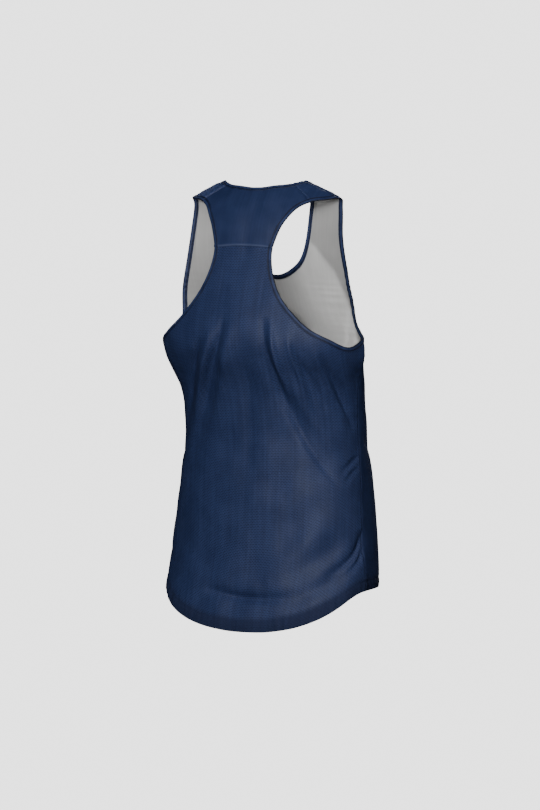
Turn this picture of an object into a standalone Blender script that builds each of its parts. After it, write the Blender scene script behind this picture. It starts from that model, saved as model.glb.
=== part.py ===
"""Running singlet in its worn, hollow form: cloth walls and bindings, in metres.

Frame: +Z up, the front faces -Y, +X is the wearer's left.  The origin is where
the shoulders hold the garment, so almost all of it hangs below.

The cloth lies on one form.  A place on it is a pair (across, station):
  across   0 on the centre plane, 1 on the wearer's left side line, -1 on the right
  station  0 at the front hem, 8 on the ridge of the shoulder, 16 at the back hem
Each station is a quarter section on either side, a cubic curve from the middle
line to the side line.  MIDDLE and SIDE give the sections, and a smooth curve
runs through them from station to station.  Panels are cut from the form by the
NECK and ARMHOLE edges and the seams, and folds push it out or in.
"""
import bpy
import bmesh
import numpy as np

# ---- cloth, in metres -----------------------------------------------------
WALL = 0.0012              # one layer of knit
HEM_TURN = 0.016           # height of the turned hem
HEM_WALL = 0.0022          # cloth and turn-up together
HEM_CURL = 0.0075          # how far the hem's edge bends in, away from the side seams
HEM_CURL_HEIGHT = 0.036    # height over which it bends
STEP = 0.0004              # half the slope at the top of the turn-up
SEAM_GAP = 0.0003          # between two pieces that are sewn together
CHORD = 0.00030            # how far a straight mesh edge cuts inside a curved seam
BINDING_WIDTH = 0.008
BINDING_THICKNESS = 0.0024
BINDING_ROUND = 0.0009     # how far the fold and the inner edge are eased
WELD = 0.00002             # vertices nearer than this are one
CLOTH_ROUGHNESS = 0.75
BINDING_ROUGHNESS = 0.60

# ---- the form -------------------------------------------------------------
# Side line of both faces, from the hem up to the end of the shoulder ridge.
# Above the underarm it runs through the air beyond the armhole.
#          section      x       y       z
SIDE = [("hem",       0.1830, 0.0100, -0.6510),
        ("hip",       0.1745, 0.0060, -0.5770),
        ("flank",     0.1640, -0.0060, -0.4870),
        ("waist",     0.1565, -0.0120, -0.4050),
        ("rib",       0.1620, 0.0000, -0.3250),
        ("underarm",  0.1770, 0.0110, -0.2620),
        ("scye",      0.1770, 0.0285, -0.1650),
        ("collar",    0.1760, 0.0260, -0.0850),
        ("ridge",     0.1760, 0.0175, -0.0535)]

# Middle line, up the front and down the back.  middle_pull and side_pull say
# how squarely a section leaves the middle and arrives at the side: 0.55 is an
# ellipse, more is boxier, less is flatter.
#          section          y       z    middle_pull side_pull
MIDDLE = [("front hem",   -0.106, -0.6600, 0.910, 0.880),
          ("front hip",   -0.108, -0.5820, 0.880, 0.810),
          ("belly",       -0.110, -0.4960, 0.850, 0.800),
          ("front waist", -0.107, -0.4080, 0.740, 0.720),
          ("front rib",   -0.095, -0.3250, 0.660, 0.610),
          ("chest",       -0.075, -0.2460, 0.530, 0.050),
          ("neck drop",   -0.018, -0.1470, 0.530, 0.130),
          ("collar",       0.000, -0.0650, 0.590, 0.410),
          ("ridge",        0.010, 0.0115, 0.560, 0.560),
          ("nape",         0.070, -0.0460, 0.610, 0.560),
          ("blades",       0.093, -0.1250, 0.600, 0.420),
          ("upper back",   0.122, -0.2380, 0.655, 0.660),
          ("back rib",     0.100, -0.3120, 0.630, 0.595),
          ("back waist",   0.079, -0.4050, 0.600, 0.585),
          ("back flank",   0.082, -0.5070, 0.615, 0.595),
          ("back hip",     0.091, -0.6160, 0.510, 0.470),
          ("back hem",     0.118, -0.7140, 0.790, 0.530)]
RIDGE_STATION = 8
HEM_STATION = {"front": 0, "back": 16}

# ---- edges of the openings, and seams -------------------------------------
# Half of the neck edge, from the front middle over the shoulder to the nape.
#        across  station
NECK = [(0.000,  5.950),
        (0.045,  5.975),
        (0.095,  6.040),
        (0.145,  6.140),
        (0.190,  6.280),
        (0.222,  6.500),
        (0.243,  6.800),
        (0.260,  7.150),
        (0.275,  7.550),
        (0.275,  7.950),
        (0.250,  8.200),
        (0.190,  8.390),
        (0.120,  8.490),
        (0.055,  8.545),
        (0.000,  8.560)]

# One armhole edge, from the side seam up the front, over the strap and down
# the racer back to the side seam again.
#           across  station
ARMHOLE = [(1.000,  5.190),
           (0.880,  5.235),
           (0.785,  5.330),
           (0.735,  5.470),
           (0.713,  5.780),
           (0.672,  6.085),
           (0.630,  6.395),
           (0.595,  6.750),
           (0.576,  7.140),
           (0.570,  7.620),
           (0.578,  7.980),
           (0.513,  8.360),
           (0.413,  8.566),
           (0.336,  8.730),
           (0.281,  8.910),
           (0.231,  9.185),
           (0.202,  9.460),
           (0.181,  9.760),
           (0.184,  9.995),
           (0.211, 10.240),
           (0.269, 10.470),
           (0.360, 10.660),
           (0.480, 10.822),
           (0.642, 10.925),
           (0.797, 11.005),
           (0.922, 10.920),
           (1.000, 10.810)]

SHOULDER_SEAM = (8.35, 1.82, 0.20)      # station, slope, and the across they hold at
YOKE_SEAM_STATION = 9.76
# Rows of a panel fan out round its corners: these are the stations that face them.
MIDDLE_FACING_UNDERARM = {"front": 4.55, "back": 12.90}
ARMHOLE_FACING_NECK_DROP = 5.50
ARMHOLE_FACING_NAPE = 9.10

# ---- folds ----------------------------------------------------------------
# Each runs from a start place over a bend to an end place.  rise is outward,
# so a groove is negative, and spread is the half width of its round section.
#         name                 start            bend             end              rise    spread
FOLDS = [("spine hollow",      (-0.09, 10.90),  (-0.04, 12.40),  (-0.01, 13.80),  -0.0040, 0.0150),
         ("left inner roll",   (0.00, 10.80),   (0.08, 11.90),   (0.22, 13.00),    0.0030, 0.0150),
         ("left groove",       (0.04, 10.70),   (0.17, 11.90),   (0.50, 13.40),   -0.0050, 0.0130),
         ("left roll",         (0.11, 10.90),   (0.25, 11.90),   (0.56, 13.20),    0.0035, 0.0120),
         ("left outer",        (0.20, 11.05),   (0.31, 11.70),   (0.62, 12.90),   -0.0035, 0.0120),
         ("right groove",      (-0.18, 10.70),  (-0.285, 12.30), (-0.86, 14.00),  -0.0045, 0.0120),
         ("right roll",        (-0.22, 10.80),  (-0.35, 12.10),  (-0.80, 13.60),   0.0035, 0.0120),
         ("right second",      (-0.39, 10.90),  (-0.49, 11.70),  (-0.64, 12.60),  -0.0035, 0.0120),
         ("right third",       (-0.56, 11.20),  (-0.71, 12.05),  (-0.93, 12.90),  -0.0040, 0.0120),
         ("seat roll",         (-0.80, 14.10),  (-0.40, 14.80),  (-0.15, 15.30),   0.0065, 0.0240),
         ("hem drape",         (0.24, 15.45),   (-0.02, 15.47),  (-0.32, 15.55),  -0.0035, 0.0130),
         ("left hem roll",     (0.60, 15.10),   (0.35, 15.25),   (0.10, 15.20),    0.0035, 0.0180),
         ("hem corner",        (-0.99, 14.70),  (-0.86, 15.14),  (-0.54, 15.35),  -0.0040, 0.0120),
         ("front left",        (0.55, 5.00),    (0.45, 3.90),    (0.20, 2.60),    -0.0050, 0.0130),
         ("front right",       (-0.60, 4.90),   (-0.42, 3.70),   (-0.26, 2.30),   -0.0050, 0.0130),
         ("belly roll",        (-0.10, 4.40),   (0.06, 3.00),    (0.02, 1.60),     0.0050, 0.0220),
         ("front corner",      (0.93, 1.10),    (0.80, 0.80),    (0.50, 0.60),    -0.0040, 0.0120),
         ("left underarm",     (1.00, 6.00),    (1.00, 5.20),    (1.00, 4.40),     0.0035, 0.0140),
         ("right underarm",    (-1.00, 6.00),   (-1.00, 5.20),   (-1.00, 4.40),    0.0035, 0.0140)]
FOLD_STEPS = 14

# ---- mesh density ---------------------------------------------------------
PANEL_COLUMNS = 15
YOKE_COLUMNS = 10
BODY_ROWS = 13             # hem to underarm
CHEST_ROWS = 7             # underarm to the neck drop
STRAP_ROWS = 15            # neck drop to the shoulder
STRAP_BEND = 0.72          # share of the strap after which it bends over the shoulder
STRAP_BEND_ROWS = 10
BLADE_ROWS = 26            # underarm to the yoke seam
CROWDING = 1.20            # power that draws their outer ends together at the underarm
YOKE_ROWS = 7              # yoke seam to the nape
YOKE_STRAP_ROWS = 8        # nape to the shoulder seam
BINDING_STEPS = 104
EDGE_SAMPLES = 801         # points that measure the length of an opening's edge
CROSSING_SAMPLES = 4001    # points that look for a seam along it

# ---- small steps ----------------------------------------------------------
PLACE_STEP = 0.0001        # of a place, for a slope
EDGE_STEP = 0.001          # along an edge, for its direction
NEAR_SIDE = 0.999          # across just inside the side line, where the two faces meet

# Shares of the armhole's run in which a seam or a corner is looked for.
UP_THE_FRONT = (0.02, 0.40)
OVER_THE_STRAP = (0.20, 0.60)
DOWN_THE_BACK = (0.40, 0.80)


def spline(rows):
    """Natural cubic through rows one unit apart; returns the curve's function."""
    rows = np.asarray(rows, float)
    count = len(rows)
    matrix = np.eye(count)
    right = np.zeros_like(rows)
    for i in range(1, count - 1):
        matrix[i, i - 1:i + 2] = 1, 4, 1
        right[i] = 6 * (rows[i - 1] - 2 * rows[i] + rows[i + 1])
    bend = np.linalg.solve(matrix, right)

    def at(where):
        where = np.asarray(where, float)
        i = np.clip(np.floor(where).astype(int), 0, count - 2)
        b = (where - i)[..., None]
        a = 1 - b
        curve = ((a ** 3 - a) * bend[i] + (b ** 3 - b) * bend[i + 1]) / 6
        return a * rows[i] + b * rows[i + 1] + curve
    return at


side_sections = [row[1:] for row in SIDE]
side_line = spline(side_sections + side_sections[-2::-1])
middle_line = spline([row[1:] for row in MIDDLE])


def form(place):
    """Point of the smooth form at each (across, station) pair."""
    across, station = np.asarray(place, float)[..., 0], np.asarray(place, float)[..., 1]
    u = np.abs(across)
    side_x, side_y, side_z = np.moveaxis(side_line(station), -1, 0)
    middle_y, middle_z, middle_pull, side_pull = np.moveaxis(middle_line(station), -1, 0)
    w0, w1, w2, w3 = (1 - u) ** 3, 3 * u * (1 - u) ** 2, 3 * u * u * (1 - u), u ** 3
    x = np.sign(across) * side_x * (middle_pull * w1 + w2 + w3)
    y = middle_y * (w0 + w1) + side_y * (w2 + w3) + side_pull * (middle_y - side_y) * w2
    z = middle_z * (w0 + w1) + side_z * (w2 + w3)
    return np.stack([x, y, z], -1)


def slopes(place):
    """How far the form's point moves for a unit of across and of station."""
    place = np.asarray(place, float)
    east, north = (PLACE_STEP, 0), (0, PLACE_STEP)
    along_across = (form(place + east) - form(place - east)) / (2 * PLACE_STEP)
    along_station = (form(place + north) - form(place - north)) / (2 * PLACE_STEP)
    return along_across, along_station


def outward(place):
    """Unit normal of the form, pointing away from the wearer: the cross product of its slopes."""
    inside = np.array(place, float)
    inside[..., 0] = np.clip(inside[..., 0], -NEAR_SIDE, NEAR_SIDE)
    normal = np.cross(*slopes(inside))
    return normal / np.linalg.norm(normal, axis=-1, keepdims=True)


def fold_rise(place):
    """How far the folds move the cloth outward at each place.

    Each adds its rise times exp of minus the square of the distance to its line
    over its spread, tapered by half a sine wave from its start to its end.
    """
    spots = form(place)
    rise = np.zeros(spots.shape[:-1])
    run = np.linspace(0, 1, FOLD_STEPS + 1)
    for _, start, bend, end, height, spread in FOLDS:
        start, bend, end = (np.array(p) for p in (start, bend, end))
        s = run[:, None]
        path = form(start * (1 - s) * (1 - 2 * s) + bend * 4 * s * (1 - s) + end * s * (2 * s - 1))
        leg = path[1:] - path[:-1]
        from_leg = spots[..., None, :] - path[:-1]
        part = np.clip((from_leg * leg).sum(-1) / (leg * leg).sum(-1), 0, 1)
        gap = np.linalg.norm(from_leg - part[..., None] * leg, axis=-1)
        nearest = gap.argmin(-1)[..., None]
        reach = (nearest + np.take_along_axis(part, nearest, -1))[..., 0] / FOLD_STEPS
        closest = np.take_along_axis(gap, nearest, -1)[..., 0]
        rise += height * np.sin(np.pi * reach) * np.exp(-(closest / spread) ** 2)
    return rise


def hem_height(place):
    """Height over the cloth above the nearer hem."""
    start = np.where(place[..., 1] < RIDGE_STATION, HEM_STATION["front"], HEM_STATION["back"])
    rate = np.linalg.norm(slopes(np.stack([place[..., 0], start], -1))[1], axis=-1)
    return np.abs(place[..., 1] - start) * rate


def hem_curl(place):
    """How far the cloth bends in: the square of the nearness to the hem, fading out at the side seams."""
    nearness = np.clip(1 - hem_height(place) / HEM_CURL_HEIGHT, 0, 1)
    return HEM_CURL * nearness ** 2 * (1 - np.abs(place[..., 0]) ** 6)


def cloth(place):
    """Point of the cloth's outer face."""
    return form(place) + outward(place) * (fold_rise(place) - hem_curl(place))[..., None]


def inset(place, along, width):
    """Place moved by width over the cloth, square to the direction along and to its left."""
    a, s = slopes(place)
    aa, as_, ss = (a * a).sum(-1), (a * s).sum(-1), (s * s).sum(-1)
    da, ds = along[..., 0], along[..., 1]
    turned = np.stack([-(as_ * da + ss * ds), aa * da + as_ * ds], -1)
    ta, ts = turned[..., 0], turned[..., 1]
    length = np.sqrt(aa * ta * ta + 2 * as_ * ta * ts + ss * ts * ts)
    return place + turned * (width / length)[..., None]


def edge(rows, mirror_at, panel_side):
    """An opening's edge as a function of run, 0 to 1 by length, and of its inset.

    The rows are mirrored past both ends about across = mirror_at, so the edge
    crosses the centre plane or the side seam squarely.
    """
    rows = np.array(rows)
    ghosts = rows[[3, 2, 1, -2, -3, -4]] * (-1, 1) + (2 * mirror_at, 0)
    line = spline(np.concatenate([ghosts[:3], rows, ghosts[3:]]))
    fine = np.linspace(0, len(rows) - 1, EDGE_SAMPLES) + 3
    step = np.linalg.norm(np.diff(form(line(fine)), axis=0), axis=1)
    length = np.concatenate([[0], np.cumsum(step)])

    def at(run, width=0.0):
        where = np.interp(run, length / length[-1], fine)
        along = line(where + EDGE_STEP) - line(where - EDGE_STEP)
        place = inset(line(where), along, width * panel_side)
        low, high = (-1, mirror_at) if mirror_at else (mirror_at, 1)
        place[..., 0] = np.clip(place[..., 0], low, high)
        return place
    return at


neck_edge = edge(NECK, 0, -1)
armhole_edge = edge(ARMHOLE, 1, 1)


def shoulder_seam(across):
    """Station of the shoulder seam, a straight line over the back of the strap."""
    station, slope, at_across = SHOULDER_SEAM
    return station + slope * (across - at_across)


def beside_shoulder_seam(shift):
    """The shoulder seam moved by a shift in station, as a function of across."""
    def seam(across):
        return shoulder_seam(across) + shift
    return seam


def level(station):
    """A line straight across at one station, as a function of across."""
    def seam(across):
        return np.full(np.shape(across), station)
    return seam


def half_gap(across, station):
    """Half the gap of a seam, in stations, at a place on it."""
    return SEAM_GAP / 2 / np.linalg.norm(slopes((across, station))[1])


def crossing(line, width, seam, span=(0.0, 1.0)):
    """Run at which an edge first crosses a seam, given as a function of across."""
    run = np.linspace(*span, CROSSING_SAMPLES)
    place = line(run, width)
    above = place[:, 1] - seam(place[:, 0])
    first = np.flatnonzero(np.diff(np.sign(above)))[0]
    share = above[first] / (above[first] - above[first + 1])
    return run[first] + share * (run[first + 1] - run[first])


def climb(hem, across, height):
    """Station at a height over the cloth above a hem."""
    start = HEM_STATION[hem]
    rate = np.linalg.norm(slopes((across, start))[1])
    return start + np.sign(RIDGE_STATION - start) * height / rate


def rows_between(inner, outer, columns):
    """Grid of places, straight from each inner place to its outer one."""
    share = np.linspace(0, 1, columns + 1)[None, :, None]
    return inner[:, None, :] * (1 - share) + outer[:, None, :] * share


def column(across, stations):
    """Places up a line of constant across."""
    return np.stack([np.full(len(stations), across), stations], -1)


PANEL_INSET = BINDING_WIDTH + SEAM_GAP + CHORD
HEM_HEIGHTS = (0.0, HEM_TURN / 2, HEM_TURN - STEP, HEM_TURN + STEP)
SIDE_ACROSS = 1 - SEAM_GAP / 2 / np.linalg.norm(slopes((NEAR_SIDE, 3.0))[0])
SHOULDER_GAP = half_gap(0.3, 8.5)
YOKE_GAP = half_gap(0.1, YOKE_SEAM_STATION)


def body_rows(hem):
    """Rows from a hem up to the underarm, evenly spaced above the turned hem."""
    lines = []
    side_top = armhole_edge(0.0 if hem == "front" else 1.0, PANEL_INSET)[1]
    for across, top in ((0.0, MIDDLE_FACING_UNDERARM[hem]), (SIDE_ACROSS, side_top)):
        hem_rows = [climb(hem, across, height) for height in HEM_HEIGHTS]
        above = np.linspace(hem_rows[-1], top, BODY_ROWS + 1)[1:]
        lines.append(column(across, np.concatenate([hem_rows, above])))
    return rows_between(*lines, PANEL_COLUMNS)


def fan(middle, armhole_run, count, columns, crowding=1.0):
    """Rows from the centre plane to the armhole, without the first one."""
    share = np.linspace(0, 1, count + 1)[1:]
    inner = column(0.0, middle[0] + share * (middle[1] - middle[0]))
    run = armhole_run[0] + share ** crowding * (armhole_run[1] - armhole_run[0])
    return rows_between(inner, armhole_edge(run, PANEL_INSET), columns)


def strap_rows(neck_run, armhole_run, share, columns):
    """Rows from the neck edge to the armhole, at shares of both runs."""
    inner = neck_edge(neck_run[0] + share * (neck_run[1] - neck_run[0]), PANEL_INSET)
    outer = armhole_edge(armhole_run[0] + share * (armhole_run[1] - armhole_run[0]), PANEL_INSET)
    return rows_between(inner, outer, columns)


def front_places():
    """Half of the front: up to the underarm, up to the neck, then up the strap."""
    seam = beside_shoulder_seam(-SHOULDER_GAP)
    turn = crossing(armhole_edge, PANEL_INSET, level(ARMHOLE_FACING_NECK_DROP), UP_THE_FRONT)
    middle = (MIDDLE_FACING_UNDERARM["front"], neck_edge(0.0, PANEL_INSET)[1])
    chest = fan(middle, (0, turn), CHEST_ROWS, PANEL_COLUMNS)
    neck_end = crossing(neck_edge, PANEL_INSET, seam)
    armhole_end = crossing(armhole_edge, PANEL_INSET, seam, OVER_THE_STRAP)
    straight = np.linspace(0, STRAP_BEND, STRAP_ROWS + 1)[1:]
    bent = np.linspace(STRAP_BEND, 1, STRAP_BEND_ROWS + 1)[1:]
    strap = strap_rows((0, neck_end), (turn, armhole_end), np.concatenate([straight, bent]), PANEL_COLUMNS)
    return np.concatenate([body_rows("front"), chest]), strap


def yoke_places():
    """Half of the yoke: up the centre plane, then along the neck to the shoulder seam."""
    seam = beside_shoulder_seam(SHOULDER_GAP)
    bottom = YOKE_SEAM_STATION - YOKE_GAP
    low = crossing(armhole_edge, PANEL_INSET, level(bottom), DOWN_THE_BACK)
    turn = crossing(armhole_edge, PANEL_INSET, level(ARMHOLE_FACING_NAPE), DOWN_THE_BACK)
    high = crossing(armhole_edge, PANEL_INSET, seam, OVER_THE_STRAP)
    middle = column(0.0, np.array([bottom]))
    first = rows_between(middle, armhole_edge(np.array([low]), PANEL_INSET), YOKE_COLUMNS)
    first[..., 1] = bottom
    nape = neck_edge(1.0, PANEL_INSET)[1]
    lower = np.concatenate([first, fan((bottom, nape), (low, turn), YOKE_ROWS, YOKE_COLUMNS)])
    neck_end = crossing(neck_edge, PANEL_INSET, seam)
    share = np.linspace(0, 1, YOKE_STRAP_ROWS + 1)[1:]
    return lower, strap_rows((1, neck_end), (turn, high), share, YOKE_COLUMNS)


def back_places():
    """Half of the lower back: up to the underarm, then up to the yoke seam."""
    top = YOKE_SEAM_STATION + YOKE_GAP
    end = crossing(armhole_edge, PANEL_INSET, level(top), DOWN_THE_BACK)
    upper = fan((MIDDLE_FACING_UNDERARM["back"], top), (1, end), BLADE_ROWS, PANEL_COLUMNS, CROWDING)
    upper[-1, :, 1] = top
    return np.concatenate([body_rows("back"), upper]), None


def wall_thickness(place):
    """One layer of cloth, or two inside the turned hem."""
    return np.where(hem_height(place) < HEM_TURN, HEM_WALL, WALL)


def named_object(name, mesh_data, colour, roughness):
    """Object with its own fabric material, in the garment's collection."""
    mesh = bpy.data.meshes.new(name)
    mesh_data.to_mesh(mesh)
    mesh_data.free()
    material = bpy.data.materials.new(name)
    material.use_nodes = True
    shader = material.node_tree.nodes["Principled BSDF"]
    shader.inputs["Base Color"].default_value = (*colour, 1)
    shader.inputs["Roughness"].default_value = roughness
    shader.inputs["Metallic"].default_value = 0
    mesh.materials.append(material)
    piece = bpy.data.objects.new(name, mesh)
    garment.objects.link(piece)
    return piece


def skin(mesh, points, closed_rows=False):
    """Faces over a grid of vertices; returns the grid."""
    grid = [[mesh.verts.new(p) for p in row] for row in points]
    rows = grid + grid[:1] if closed_rows else grid
    for low, high in zip(rows, rows[1:]):
        for i in range(len(low) - 1):
            mesh.faces.new((low[i], low[i + 1], high[i + 1], high[i]))
    return grid


def rim(mesh, outer, inner):
    """Faces that join two matching runs of vertices."""
    for i in range(len(outer) - 1):
        mesh.faces.new((outer[i], outer[i + 1], inner[i + 1], inner[i]))


def panel(name, lower, upper, colour):
    """Cloth wall over both halves of a panel, welded on the centre plane.

    lower is the part that crosses the centre plane, upper the part that splits
    into two straps, or None.
    """
    mesh = bmesh.new()
    half = lower if upper is None else np.concatenate([lower, upper])
    for hand in (1, -1):
        place = half * (hand, 1)
        outer_points = cloth(place)
        inner_points = outer_points - outward(place) * wall_thickness(place)[..., None]
        outer, inner = skin(mesh, outer_points), skin(mesh, inner_points)
        rim(mesh, outer[0], inner[0])
        rim(mesh, outer[-1], inner[-1])
        rim(mesh, [row[-1] for row in outer], [row[-1] for row in inner])
        if upper is not None:
            first = len(lower) - 1
            rim(mesh, [row[0] for row in outer[first:]], [row[0] for row in inner[first:]])
    bmesh.ops.remove_doubles(mesh, verts=mesh.verts, dist=WELD)
    bmesh.ops.recalc_face_normals(mesh, faces=mesh.faces)
    return named_object(name, mesh, colour, CLOTH_ROUGHNESS)


def binding(name, places_at, colour):
    """Folded strip round an opening; places_at gives its places at an inset."""
    top = (BINDING_THICKNESS - WALL) / 2
    bottom = top - BINDING_THICKNESS
    middle = (top + bottom) / 2
    near, far = BINDING_ROUND, BINDING_WIDTH - BINDING_ROUND
    #          inset          height
    section = [(0.0,           middle),
               (near,          top),
               (far,           top),
               (BINDING_WIDTH, middle),
               (far,           bottom),
               (near,          bottom)]
    lines = []
    for width, height in section:
        place = places_at(width)
        lines.append(cloth(place) + outward(place) * height)
    points = np.stack(lines, 1)
    mesh = bmesh.new()
    grid = skin(mesh, points, closed_rows=True)
    for low, high in zip(grid, grid[1:] + grid[:1]):
        mesh.faces.new((low[-1], low[0], high[0], high[-1]))
    bmesh.ops.recalc_face_normals(mesh, faces=mesh.faces)
    return named_object(name, mesh, colour, BINDING_ROUGHNESS)


def neck_places(width):
    """Places all round the neck edge, up the left and down the right."""
    half = neck_edge(np.linspace(0, 1, BINDING_STEPS // 2 + 1), width)
    return np.concatenate([half, half[-2:0:-1] * (-1, 1)])


def armhole_places(hand):
    """Function of inset that gives the places all round one armhole."""
    def at(width):
        return armhole_edge(np.linspace(0, 1, BINDING_STEPS + 1)[:-1], width) * (hand, 1)
    return at


for thing in list(bpy.data.objects):
    bpy.data.objects.remove(thing, do_unlink=True)
garment = bpy.data.collections.new("running singlet")
bpy.context.scene.collection.children.link(garment)

NAVY = (0.030, 0.058, 0.120)
DARK_NAVY = (0.022, 0.042, 0.090)

panel("front", *front_places(), NAVY)
panel("back_yoke", *yoke_places(), NAVY)
panel("back_panel", *back_places(), NAVY)
binding("neck_binding", neck_places, DARK_NAVY)
binding("armhole_binding_left", armhole_places(1), DARK_NAVY)
binding("armhole_binding_right", armhole_places(-1), DARK_NAVY)
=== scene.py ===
"""Looks of the running singlet: knit panels, bindings, seams, stitching and hem.

Every piece lies on the form that the solids were built on.  A place on it is a
pair (across, station): across is 0 on the centre plane and +-1 on the side lines,
station is 0 at the front hem, 8 on the ridge of the shoulder, 16 at the back hem.
A panel is a closed thin wall over a grid of places; folds, seams and puckers move
its outer face along the form's normal.  Everything is in metres.
"""
import math

import bpy
import numpy as np
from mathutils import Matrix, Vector


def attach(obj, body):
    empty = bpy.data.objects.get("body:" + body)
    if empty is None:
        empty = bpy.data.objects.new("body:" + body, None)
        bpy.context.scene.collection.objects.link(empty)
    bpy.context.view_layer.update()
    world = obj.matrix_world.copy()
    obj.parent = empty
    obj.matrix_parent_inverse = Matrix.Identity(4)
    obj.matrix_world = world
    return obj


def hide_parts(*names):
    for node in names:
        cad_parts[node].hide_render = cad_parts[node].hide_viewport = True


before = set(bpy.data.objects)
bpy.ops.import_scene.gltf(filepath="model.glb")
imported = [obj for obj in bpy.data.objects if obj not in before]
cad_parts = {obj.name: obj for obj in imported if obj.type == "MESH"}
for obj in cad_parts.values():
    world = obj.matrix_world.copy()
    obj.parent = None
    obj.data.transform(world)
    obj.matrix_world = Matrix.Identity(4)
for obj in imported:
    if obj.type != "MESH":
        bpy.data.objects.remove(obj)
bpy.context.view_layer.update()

# ---- cloth ------------------------------------------------------------------
WALL = 0.0012              # one layer of knit
HEM_TURN = 0.016           # height of the turned hem
HEM_WALL = 0.0022          # cloth and turn-up together
TURN_STEP = 0.0001         # over which the turn-up's top steps back to one layer
HEM_CURL = 0.0090          # how far the hem's edge bends in, away from the side seams
HEM_CURL_HEIGHT = 0.060    # height over which it bends
BINDING_WIDTH = 0.008
BINDING_HALF = 0.00125     # half the thickness of the folded binding
TUCK = 0.0026              # how far a panel's edge runs inside the binding
PANEL_INSET = BINDING_WIDTH - TUCK

# ---- the form, as in the solids ----------------------------------------------
# Sections from the hem to the shoulder ridge at the side, and from the front hem over
# the shoulders to the back hem in the middle.  A pull tells how square a section is.
SIDE = [
    # section     x       y       z
    ("hem",       0.1830, 0.0100, -0.6510),
    ("hip",       0.1745, 0.0060, -0.5770),
    ("flank",     0.1640, -0.0060, -0.4870),
    ("waist",     0.1565, -0.0120, -0.4050),
    ("rib",       0.1620, 0.0000, -0.3250),
    ("underarm",  0.1770, 0.0110, -0.2620),
    ("scye",      0.1770, 0.0285, -0.1650),
    ("collar",    0.1760, 0.0260, -0.0850),
    ("ridge",     0.1760, 0.0175, -0.0535)]

MIDDLE = [
    # section        y       z       middle_pull, side_pull
    ("front hem",   -0.106, -0.6600, 0.910, 0.880),
    ("front hip",   -0.108, -0.5820, 0.880, 0.810),
    ("belly",       -0.110, -0.4960, 0.850, 0.800),
    ("front waist", -0.107, -0.4080, 0.740, 0.720),
    ("front rib",   -0.095, -0.3250, 0.660, 0.610),
    ("chest",       -0.075, -0.2460, 0.530, 0.050),
    ("neck drop",   -0.018, -0.1470, 0.530, 0.130),
    ("collar",       0.000, -0.0650, 0.590, 0.410),
    ("ridge",        0.010, 0.0115, 0.560, 0.560),
    ("nape",         0.070, -0.0460, 0.610, 0.560),
    ("blades",       0.093, -0.1250, 0.600, 0.420),
    ("upper back",   0.122, -0.2380, 0.655, 0.660),
    ("back rib",     0.100, -0.3120, 0.630, 0.595),
    ("back waist",   0.079, -0.4050, 0.600, 0.585),
    ("back flank",   0.082, -0.5070, 0.615, 0.595),
    ("back hip",     0.091, -0.6160, 0.510, 0.470),
    ("back hem",     0.118, -0.7140, 0.790, 0.530)]

HEM_STATION = {"front": 0, "back": 16}
HEM_WAY = {"front": 1, "back": -1}      # sense in which stations run up from a hem
RIDGE_STATION = 8
SIDE_LINE = 0.9996         # across at which a panel ends at the side seam
NEAR_SIDE = 0.999          # across beyond which the form's slopes aren't measured

# The openings' edges as pairs of across and station: the neck from its front to the nape,
# and the armhole from the side line over the front, the strap and the back.
NECK = [
    (0.000, 5.950), (0.045, 5.975), (0.095, 6.040), (0.145, 6.140), (0.190, 6.280),
    (0.222, 6.500), (0.243, 6.800), (0.260, 7.150), (0.275, 7.550), (0.275, 7.950),
    (0.250, 8.200), (0.190, 8.390), (0.120, 8.490), (0.055, 8.545), (0.000, 8.560)]

ARMHOLE = [
    (1.000, 5.190), (0.880, 5.235), (0.785, 5.330), (0.735, 5.470), (0.713, 5.780),
    (0.672, 6.085), (0.630, 6.395), (0.595, 6.750), (0.576, 7.140), (0.570, 7.620),
    (0.578, 7.980), (0.513, 8.360), (0.413, 8.566), (0.336, 8.730), (0.281, 8.910),
    (0.231, 9.185), (0.202, 9.460), (0.181, 9.760), (0.184, 9.995), (0.211, 10.240),
    (0.269, 10.470), (0.360, 10.660), (0.480, 10.822), (0.642, 10.925), (0.797, 11.005),
    (0.922, 10.920), (1.000, 10.810)]

SHOULDER_SEAM = (8.35, 1.82, 0.20)      # station, slope, and the across they hold at
YOKE_SEAM_STATION = 9.76
MIDDLE_FACING_UNDERARM = {"front": 4.55, "back": 12.90}
ARMHOLE_FACING_NECK_DROP = 5.50
ARMHOLE_FACING_NAPE = 9.10

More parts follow.
